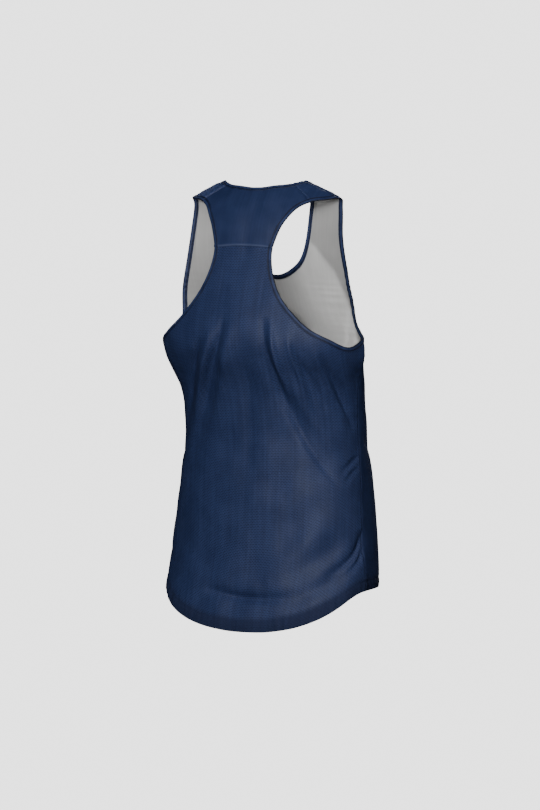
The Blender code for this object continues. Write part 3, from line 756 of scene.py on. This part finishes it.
def binding(name, places_at, steps, material):
    """Folded strip round an opening: its section carried along the edge, closed on itself."""
    over = np.concatenate([BINDING_SECTION, -BINDING_SECTION[:0:-1]])
    sides = np.where(np.arange(len(over)) < len(BINDING_SECTION), 1, -1)
    lines = [face(places_at(width, steps), side * binding_half(width) - WALL / 2)
             for width, side in zip(np.abs(over), sides)]
    piece = tube(name + "_cloth", np.stack(lines, 1), over, material, closed=True)
    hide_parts(name)
    return piece


def neck_places(width, steps):
    """Places all round the neck edge, up the left and down the right."""
    half = neck_edge(np.linspace(0, 1, steps // 2 + 1), width)
    return np.concatenate([half, half[-2:0:-1] * (-1, 1)])


def armhole_places(hand):
    """Function of inset and steps that gives the places all round one armhole."""
    def at(width, steps):
        return armhole_edge(np.linspace(0, 1, steps + 1)[:-1], width) * (hand, 1)
    return at


# ---- sewing -----------------------------------------------------------------
STITCH_RINGS = [
    # along, of half a stitch; radius and sink, of the thread
    (-1.00, 0.35, -1.1),
    (-0.72, 0.90, -0.1),
    (0.00, 1.00, 0.3),
    (0.72, 0.90, -0.1),
    (1.00, 0.35, -1.1)]
STITCH_SIDES = 6
THREAD = 0.00021           # radius of the thread
HEM_LIFT = 0.00005         # of the hem's stitch row over its groove
BINDING_STITCH = (0.0026, 0.0020)       # pitch, and length of one stitch
HEM_STITCH = (0.0031, 0.0024)           # the same


def stitch_row(name, line, lift, stitch, material, inner=False):
    """Short round threads along a line of places: rings about its tangent, sunk in at both ends."""
    pitch, length = stitch
    normal = outward(line) * (-1 if inner else 1)
    points = face(line, -lift if inner else lift)
    length_at = distances(points)
    count = max(int(length_at[-1] / pitch), 1)
    middle = (np.arange(count) + 0.5) * length_at[-1] / count

    def on_line(values, where):
        return np.stack([np.interp(where, length_at, values[:, i]) for i in range(3)], -1)

    tangent = on_line(points, middle + pitch / 2) - on_line(points, middle - pitch / 2)
    tangent /= np.linalg.norm(tangent, axis=-1, keepdims=True)
    side = np.cross(tangent, on_line(normal, middle))
    side /= np.linalg.norm(side, axis=-1, keepdims=True)
    up = np.cross(side, tangent)
    along, radius, sink = np.array(STITCH_RINGS).T
    angle = np.arange(STITCH_SIDES) * 2 * np.pi / STITCH_SIDES
    out = np.sin(angle) * radius[:, None] * THREAD + sink[:, None] * THREAD
    over = np.cos(angle) * radius[:, None] * THREAD
    rings = (on_line(points, middle)[:, None, None]
             + tangent[:, None, None] * (along * length / 2)[None, :, None, None]
             + up[:, None, None] * out[None, ..., None]
             + side[:, None, None] * over[None, ..., None])
    one = tube_quads(len(STITCH_RINGS), STITCH_SIDES)
    quads = one + (np.arange(count) * len(STITCH_RINGS) * STITCH_SIDES)[:, None, None]
    flat = rings.reshape(-1, 3)
    piece = make_object(name, flat, face_out(flat, quads.reshape(-1, 4)), [material], sharp_degrees=180)
    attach(piece, "root")
    return piece


ALLOWANCE = 0.0062         # width of an overlocked seam allowance
ALLOWANCE_THICK = 0.0009
ALLOWANCE_COLUMNS = 9
ALLOWANCE_SINK = 0.0002    # how far its hidden face lies inside the wall
ALLOWANCE_LIFT = 0.0001    # how far its edges stand off the wall


def tape(name, places_at, material, steps):
    """Overlocked allowance on the inner face, its section a low bar rounded by a fourth power."""
    share = np.linspace(0, 1, ALLOWANCE_COLUMNS)
    run = np.linspace(0, 1, steps + 1)
    top, bottom = [], []
    for part in share:
        place = places_at(run, part * ALLOWANCE)
        swell = ALLOWANCE_THICK * (1 - np.abs(2 * part - 1) ** 4)
        for line, depth in ((top, -ALLOWANCE_SINK), (bottom, ALLOWANCE_LIFT + swell)):
            line.append(face(place) - outward(place) * (wall_thickness(place) + depth)[:, None])
    over = np.concatenate([share, share[::-1]]) * ALLOWANCE
    return tube(name, np.stack(top + bottom[::-1], 1), over, material)


# ---- finishes ---------------------------------------------------------------
class Value:
    """A number in a shader; arithmetic on it adds Math nodes."""

    def __init__(self, finish, socket):
        self.finish, self.socket = finish, socket

    def math(self, operation, *others):
        """The Math node of that operation on this value and the others."""
        node = self.finish.node("ShaderNodeMath", {"operation": operation},
                                dict(enumerate((self, *others))))
        return Value(self.finish, node.outputs[0])

    def __add__(self, other):
        return self.math("ADD", other)

    def __sub__(self, other):
        return self.math("SUBTRACT", other)

    def __rsub__(self, other):
        return self.math("MULTIPLY", -1.0).math("ADD", other)

    def __mul__(self, other):
        return self.math("MULTIPLY", other)

    def __truediv__(self, other):
        return self.math("DIVIDE", other)

    def __pow__(self, other):
        return self.math("POWER", other)

    __radd__, __rmul__ = __add__, __mul__

    def waves(self, length):
        """Sine of the value, one wave for each length of it."""
        return (self * (2 * math.pi / length)).math("SINE")

    def fade(self, low, high):
        """0 below low and 1 above high, with a smooth step between them."""
        node = self.finish.node("ShaderNodeMapRange", {"interpolation_type": "SMOOTHSTEP"},
                                {"Value": self, "From Min": low, "From Max": high})
        return Value(self.finish, node.outputs[0])


class Finish:
    """A material with one Principled shader, and a method that adds any other node."""

    def __init__(self, name):
        self.material = bpy.data.materials.new(name)
        self.material.use_nodes = True
        self.tree = self.material.node_tree
        self.shader = self.tree.nodes["Principled BSDF"]
        self.place = self.node("ShaderNodeUVMap", {"uv_map": "Cloth"}).outputs[0]

    def put(self, socket, given):
        """Links a value or an output to the socket, or writes a plain number or colour there."""
        given = given.socket if isinstance(given, Value) else given
        if isinstance(given, bpy.types.NodeSocket):
            self.tree.links.new(given, socket)
        else:
            socket.default_value = given

    def node(self, kind, settings=None, inputs=None):
        """A node of that kind, its settings made first, then its sockets filled or linked."""
        node = self.tree.nodes.new(kind)
        for name, setting in (settings or {}).items():
            setattr(node, name, setting)
        for name, given in (inputs or {}).items():
            self.put(node.inputs[name], given)
        return node

    def cloth(self):
        """Distances over the cloth, across and along, in metres."""
        parts = self.node("ShaderNodeSeparateXYZ", inputs={0: self.place})
        return Value(self, parts.outputs[0]), Value(self, parts.outputs[1])

    def streaks(self, across, along, detail):
        """Noise over the cloth, with so many grains in a metre across and along."""
        where = self.node("ShaderNodeMapping", inputs={"Vector": self.place,
                                                       "Scale": (across, along, 1.0)}).outputs[0]
        node = self.node("ShaderNodeTexNoise", {"noise_dimensions": "2D"},
                         {"Vector": where, "Scale": 1.0, "Detail": detail})
        return Value(self, node.outputs[0])

    def mottle(self, scale, detail):
        """Noise through space, with so many grains in a metre."""
        where = self.node("ShaderNodeTexCoord").outputs["Object"]
        node = self.node("ShaderNodeTexNoise", inputs={"Vector": where, "Scale": scale, "Detail": detail})
        return Value(self, node.outputs[0])

    def blend(self, share, low, high):
        """Colour between low and high by share."""
        node = self.node("ShaderNodeMix", {"data_type": "RGBA"})
        self.put(node.inputs["Factor"], share)
        self.put(node.inputs[6], low)
        self.put(node.inputs[7], high)
        return node.outputs[2]

    def painted_light(self):
        """Painted highlight of the seams at the mesh's own points, below 0 painted shade on the turned hem's
        two layers.
        """
        return Value(self, self.node("ShaderNodeAttribute", {"attribute_name": "PaintedLight"}).outputs["Fac"])

    def bump(self, height, distance, strength):
        """Normal tilted by the slope of height times distance."""
        node = self.node("ShaderNodeBump", inputs={"Height": height, "Distance": distance,
                                                   "Strength": strength})
        return node.outputs[0]

    def finish(self, **sockets):
        """Fills the shader's own sockets, named with _ for each space."""
        for name, given in sockets.items():
            self.put(self.shader.inputs[name.replace("_", " ")], given)
        return self.material


def rgb(red, green, blue):
    """Opaque colour of those shares."""
    return (red, green, blue, 1.0)


NAVY = rgb(0.0190, 0.0350, 0.1100)
NAVY_LIGHT = rgb(0.0270, 0.0460, 0.1370)
NAVY_YARN = rgb(0.0390, 0.0640, 0.1800)
# Deep colour of the eyelets, and of the painted shade on the turned hem and the bindings.
NAVY_DEEP = rgb(0.0020, 0.0050, 0.0260)
# Colour of the painted highlight along the seams.
NAVY_HIGHLIGHT = rgb(0.0850, 0.1150, 0.2300)
GREY = rgb(0.50, 0.497, 0.49)
GREY_LIGHT = rgb(0.55, 0.547, 0.54)
GREY_DEEP = rgb(0.30, 0.30, 0.30)
BLACK = rgb(0, 0, 0)
WHITE = rgb(1, 1, 1)

JERSEY_WALE = 0.00085      # width of one column of stitches of the smooth knit
JERSEY_COURSE = 0.00070    # height of one row
EYELET_PITCH = 0.0052      # between eyelets in a row
EYELET_ROW = 0.0026        # between rows, each shifted by half a pitch
EYELET_ACROSS = 0.44       # half width of an eyelet, of its pitch
EYELET_ALONG = 0.24        # half height, of a row
EYELET_RIM = (0.45, 1.25)  # over which an eyelet fades to yarn, in squares of its own half sizes
EYELET_SHADE = 0.68        # share of the deep colour in an eyelet
MOTTLE_ROUGHNESS = 0.12    # added by the mottling
DOUBLE_ROUGHNESS = 0.45    # added on the turned hem's two layers, for each unit below 0 of the painted light
BINDING_RIB = 0.0012       # between ribs of the binding
# Widths over which a binding's painted shade gives way to its colour from the fold, comes back at the
# stitches and partly goes again.
BINDING_SHADE_SPANS = ((0.0006, 0.0020), (0.0042, 0.0052), (0.0060, 0.0070))
BINDING_LIP_UNSHADED = 0.6    # share of the binding's colour beyond the stitches, the rest painted shade
OVERLOCK_PITCH = 0.0019    # between the slanting threads of an overlocked edge
OVERLOCK_SLANT = 0.35      # how far they slant along it
OVERLOCK_CHAIN = 0.0030    # length of a link of its chain

# Streaks are grains in a metre across, along, and their detail; mottle is grains in a metre
# through space and their detail; a bump is the height of the relief and its strength.
SMOOTH_STREAKS, SMOOTH_MOTTLE, SMOOTH_BUMP = (330.0, 9.0, 1.0), (38.0, 3.0), (0.00012, 0.7)
EYELET_STREAKS, EYELET_MOTTLE, EYELET_BUMP = (240.0, 6.0, 2.0), (30.0, 3.0), (0.00035, 0.8)
BINDING_MOTTLE, BINDING_BUMP = (70.0, 3.0), (0.00010, 0.6)
THREAD_MOTTLE, THREAD_BUMP = (900.0, 1.0), (0.00006, 0.6)
OVERLOCK_BUMP = (0.0003, 0.8)
OUTSIDE = (0.50, 0.40)     # roughness and gloss of the printed face
INSIDE = (0.75, 0.25)      # and of the bare one
THREAD_GLOSS = 0.45


def jersey(finish):
    """Height of smooth knit: fine upright ribs crossed by rows."""
    u, v = finish.cloth()
    return u.waves(JERSEY_WALE) * 0.35 + v.waves(JERSEY_COURSE) * 0.25


def eyelets(finish):
    """1 inside the small oval holes of the mesh knit, 0 on the yarn between them."""
    u, v = finish.cloth()
    row = v / EYELET_ROW
    shift = (row.math("FLOOR") * 0.5).math("FRACT")
    x = (u / EYELET_PITCH + shift).math("FRACT") - 0.5
    y = row.math("FRACT") - 0.5
    far = (x / EYELET_ACROSS) ** 2.0 + (y / EYELET_ALONG) ** 2.0
    return 1.0 - far.fade(*EYELET_RIM)


def tone_and_painted_light(finish, tone, plain, light, highlight):
    """Colour from plain to light by tone with the painted highlight along the seams, and the share of
    painted shade on the turned hem.
    """
    painted_light = finish.painted_light()
    return finish.blend(painted_light, finish.blend(tone, plain, light), highlight), painted_light * -1.0


def knit_roughness(mottle, double_and_shade, roughness):
    """Roughness, raised by the mottling and by the two layers of the turned hem."""
    return mottle * MOTTLE_ROUGHNESS + double_and_shade.math("MAXIMUM", 0.0) * DOUBLE_ROUGHNESS + roughness


def smooth_finish(name, deep, plain, light, highlight, roughness, gloss):
    """Smooth knit: mottled colour, faint upright streaks, fine ribs, a painted highlight on the seam folds
    and painted shade on the turned hem.
    """
    finish = Finish(name)
    streaks = finish.streaks(*SMOOTH_STREAKS)
    mottle = finish.mottle(*SMOOTH_MOTTLE)
    tone = (streaks * 0.35 + mottle * 0.65).fade(0.30, 0.72)
    colour, double_and_shade = tone_and_painted_light(finish, tone, plain, light, highlight)
    height = jersey(finish) + streaks * 0.5
    # Painted shade on the turned hem.
    return finish.finish(Base_Color=finish.blend(double_and_shade, colour, deep),
                         Roughness=knit_roughness(mottle, double_and_shade, roughness),
                         Normal=finish.bump(height, *SMOOTH_BUMP), Specular_IOR_Level=gloss)


def eyelet_finish(name, deep, plain, light, highlight, roughness, gloss):
    """Mesh knit: oval eyelets in staggered rows, deeper in colour, over faint upright streaks, with a
    painted highlight along the yoke seam and painted shade on the turned hem.
    """
    finish = Finish(name)
    holes = eyelets(finish)
    streaks = finish.streaks(*EYELET_STREAKS)
    mottle = finish.mottle(*EYELET_MOTTLE)
    tone = (streaks * 0.45 + mottle * 0.55).fade(0.32, 0.70)
    colour, double_and_shade = tone_and_painted_light(finish, tone, plain, light, highlight)
    # Deep colour in the eyelets, and painted shade on the turned hem.
    shade = (holes * EYELET_SHADE).math("MAXIMUM", double_and_shade)
    height = 1.0 - holes + streaks * 0.4
    return finish.finish(Base_Color=finish.blend(shade, colour, deep),
                         Roughness=knit_roughness(mottle, double_and_shade, roughness),
                         Normal=finish.bump(height, *EYELET_BUMP), Specular_IOR_Level=gloss)


def ribbed_finish(name, deep, plain, light, roughness):
    """Narrow knit of the bindings: ribs square to the edge, mottled, with painted shade at the stitches and
    the fold.
    """
    finish = Finish(name)
    along, across = finish.cloth()
    mottle = finish.mottle(*BINDING_MOTTLE)
    width = across.math("ABSOLUTE")
    # Painted shade in the rolled fold and the stitch groove, and in part beyond it.
    fold, stitches, lip = (width.fade(*span) for span in BINDING_SHADE_SPANS)
    unshaded = fold * (1.0 - stitches) + lip * BINDING_LIP_UNSHADED
    colour = finish.blend(unshaded, deep, finish.blend(mottle.fade(0.35, 0.70), plain, light))
    return finish.finish(Base_Color=colour, Roughness=mottle * 0.10 + roughness,
                         Normal=finish.bump(along.waves(BINDING_RIB), *BINDING_BUMP),
                         Specular_IOR_Level=THREAD_GLOSS)


def thread_finish(name, plain, light):
    """Polyester thread: a fine twist along it and a soft gloss."""
    finish = Finish(name)
    fuzz = finish.mottle(*THREAD_MOTTLE)
    return finish.finish(Base_Color=finish.blend(fuzz, plain, light), Roughness=0.42,
                         Normal=finish.bump(fuzz, *THREAD_BUMP), Specular_IOR_Level=THREAD_GLOSS)


def overlock_finish(name, plain, light):
    """Overlocked edge: threads slanting across the tape, thick and thin."""
    finish = Finish(name)
    u, v = finish.cloth()
    slant = (u + v * OVERLOCK_SLANT).waves(OVERLOCK_PITCH)
    height = slant * 0.7 + v.waves(OVERLOCK_CHAIN) * 0.3
    colour = finish.blend(height.fade(-0.8, 0.8), plain, light)
    return finish.finish(Base_Color=colour, Roughness=0.62, Normal=finish.bump(height, *OVERLOCK_BUMP),
                         Specular_IOR_Level=0.30)


smooth_navy = smooth_finish("smooth_knit_navy", NAVY_DEEP, NAVY, NAVY_LIGHT, NAVY_HIGHLIGHT, *OUTSIDE)
eyelet_navy = eyelet_finish("eyelet_knit_navy", NAVY_DEEP, NAVY_LIGHT, NAVY_YARN, NAVY_HIGHLIGHT, *OUTSIDE)
smooth_grey = smooth_finish("smooth_knit_inside", GREY_DEEP, GREY, GREY_LIGHT, GREY_LIGHT, *INSIDE)
eyelet_grey = eyelet_finish("eyelet_knit_inside", GREY_DEEP, GREY, GREY_LIGHT, GREY_LIGHT, *INSIDE)
binding_navy = ribbed_finish("binding_knit_navy", NAVY_DEEP, NAVY, NAVY_YARN, 0.50)
thread_navy = thread_finish("thread_navy", NAVY, NAVY_LIGHT)
thread_grey = overlock_finish("overlock_thread", GREY_DEEP, GREY)

# ---- the garment ----------------------------------------------------------------
front = panel("front", front_grids(), smooth_navy, smooth_grey)
yoke = panel("back_yoke", yoke_grids(), smooth_navy, smooth_grey)
back = panel("back_panel", back_grids(), eyelet_navy, eyelet_grey)

EDGES = [
    # name, places all round it, steps
    ("neck_binding", neck_places, 620),
    ("armhole_binding_left", armhole_places(1), 760),
    ("armhole_binding_right", armhole_places(-1), 760)]
for name, places_at, steps in EDGES:
    binding(name, places_at, steps, binding_navy)
    line = places_at(BINDING_ROW, steps)
    line = np.concatenate([line, line[:1]])
    lift = binding_half(BINDING_ROW) - WALL / 2
    for side, inner in (("outside", False), ("inside", True)):
        height = lift + (WALL if inner else 0)
        row = stitch_row(f"{name}_stitches_{side}", line, height, BINDING_STITCH, thread_navy, inner)

HEM_STEPS = 700


def hem_line(hem):
    """Places along the stitch row of one hem, from side seam to side seam."""
    foot = np.linspace((-SIDE_LINE, HEM_STATION[hem]), (SIDE_LINE, HEM_STATION[hem]), HEM_STEPS)
    return climb(foot, HEM_WAY[hem] * HEM_TURN)


for hem in HEM_STATION:
    stitch_row(f"{hem}_hem_stitches", hem_line(hem), HEM_LIFT, HEM_STITCH, thread_navy)


def side_places(hand):
    """Function of run and width: up the side seam from the hem, width into the back."""
    ends = (HEM_STATION["back"], armhole_edge(1.0, PANEL_INSET)[1])

    def at(run, width):
        station = part_way(ends, run)
        across = 1 - width / pace(column(NEAR_SIDE, station))[0]
        return np.stack([hand * across, station], -1)
    return at


def yoke_seam_places(run, width):
    """Along the yoke seam from right to left, width up into the yoke."""
    end = armhole_edge(armhole_at_yoke, PANEL_INSET)[0]
    place = np.stack([(2 * run - 1) * end, np.full(len(run), YOKE_SEAM_STATION)], -1)
    return climb(place, -width)


def shoulder_places(hand):
    """Along a shoulder seam from the neck to the armhole, width forward into the front."""
    ends = (neck_edge(neck_at_shoulder, PANEL_INSET)[0],
            armhole_edge(armhole_at_shoulder, PANEL_INSET)[0])

    def at(run, width):
        across = part_way(ends, run)
        return climb(np.stack([hand * across, shoulder_seam(across)], -1), -width)
    return at


SEAMS = [
    # name, places along it, steps
    ("side_allowance_left", side_places(1), 300),
    ("side_allowance_right", side_places(-1), 300),
    ("yoke_allowance", yoke_seam_places, 80),
    ("shoulder_allowance_left", shoulder_places(1), 60),
    ("shoulder_allowance_right", shoulder_places(-1), 60)]
for name, places_at, steps in SEAMS:
    tape(name, places_at, thread_grey, steps)

# ---- camera, floor and light ----------------------------------------------------
AIM = (0.0, 0.0, -0.362)
AZIMUTH, ELEVATION, DISTANCE = 210, 5, 4.5
FOCAL_PIXELS, FRAME_HEIGHT = 2781, 810
SENSOR = 36.0


def stand(thing, azimuth, elevation, distance, aim=AIM):
    """Puts a camera or light at a distance from its aim, turned to it; azimuth 0 is in front, at -Y."""
    azimuth, elevation = math.radians(azimuth), math.radians(elevation)
    place = (aim[0] + math.sin(azimuth) * math.cos(elevation) * distance,
             aim[1] - math.cos(azimuth) * math.cos(elevation) * distance,
             aim[2] + math.sin(elevation) * distance)
    thing.location = place
    thing.rotation_mode = "QUATERNION"
    thing.rotation_quaternion = (Vector(aim) - Vector(place)).to_track_quat("-Z", "Y")


camera_data = bpy.data.cameras.new("camera")
camera_data.sensor_width = SENSOR
camera_data.lens = FOCAL_PIXELS * SENSOR / FRAME_HEIGHT
camera = add_object("camera", camera_data)
stand(camera, AZIMUTH, ELEVATION, DISTANCE)
bpy.context.scene.camera = camera

LIGHTS = [
    # name  azimuth, elevation, distance, size, watts
    ("key", 214, 32, 3.3, 1.4, 29),
    ("back", 193, 14, 3.3, 1.4, 50),
    ("right", 274, 14, 3.3, 1.4, 7),
    ("front", 20, 25, 3.4, 2.2, 80)]
for name, azimuth, elevation, distance, size, watts in LIGHTS:
    lamp = bpy.data.lights.new(name, "AREA")
    lamp.shape, lamp.size, lamp.energy = "DISK", size, watts
    stand(add_object(name, lamp), azimuth, elevation, distance)

# A soft beam through the left armhole, on the inside of the front alone.
BEAM_AIM = (-0.120, -0.07, -0.270)
BEAM_AZIMUTH, BEAM_ELEVATION, BEAM_DISTANCE = 113, 15, 3.3
BEAM_WATTS, BEAM_SIZE, BEAM_DEGREES = 2300, 0.20, 4.0
beam_light = bpy.data.lights.new("through", "SPOT")
beam_light.energy, beam_light.shadow_soft_size = BEAM_WATTS, BEAM_SIZE
beam_light.spot_size, beam_light.spot_blend = math.radians(BEAM_DEGREES), 1.0
beam = add_object("through", beam_light)
stand(beam, BEAM_AZIMUTH, BEAM_ELEVATION, BEAM_DISTANCE, BEAM_AIM)
beam.light_linking.receiver_collection = bpy.data.collections.new("front alone")
beam.light_linking.receiver_collection.objects.link(front)

BACKDROP = 2.7             # brightness of the backdrop for the camera
ROOM_LIGHT = 0.015         # and of the world on the cloth
FLOOR_HEIGHT, FLOOR_HALF = -1.25, 30.0


def pale_world():
    """Even pale backdrop for the camera, and a dimmer room light on the cloth."""
    world = bpy.data.worlds.new("studio")
    world.use_nodes = True
    bpy.context.scene.world = world
    tree = world.node_tree
    room = tree.nodes["Background"]
    seen = tree.nodes.new("ShaderNodeBackground")
    for shader, strength in ((room, ROOM_LIGHT), (seen, BACKDROP)):
        shader.inputs[0].default_value = WHITE
        shader.inputs[1].default_value = strength
    path = tree.nodes.new("ShaderNodeLightPath")
    mix = tree.nodes.new("ShaderNodeMixShader")
    tree.links.new(path.outputs["Is Camera Ray"], mix.inputs[0])
    tree.links.new(room.outputs[0], mix.inputs[1])
    tree.links.new(seen.outputs[0], mix.inputs[2])
    tree.links.new(mix.outputs[0], tree.nodes["World Output"].inputs[0])


def pale_floor():
    """Plain pale floor below the hem, as bright as the backdrop, and lighting nothing."""
    corners = np.array([(-1, -1), (1, -1), (1, 1), (-1, 1)]) * FLOOR_HALF
    points = np.column_stack([corners, np.full(len(corners), FLOOR_HEIGHT)])
    material = Finish("pale_floor").finish(Base_Color=BLACK, Specular_IOR_Level=0.0,
                                           Emission_Color=WHITE, Emission_Strength=BACKDROP)
    floor = make_object("floor", points, np.array([[0, 1, 2, 3]]), [material])
    floor.visible_diffuse = floor.visible_glossy = floor.visible_shadow = False


pale_world()
pale_floor()
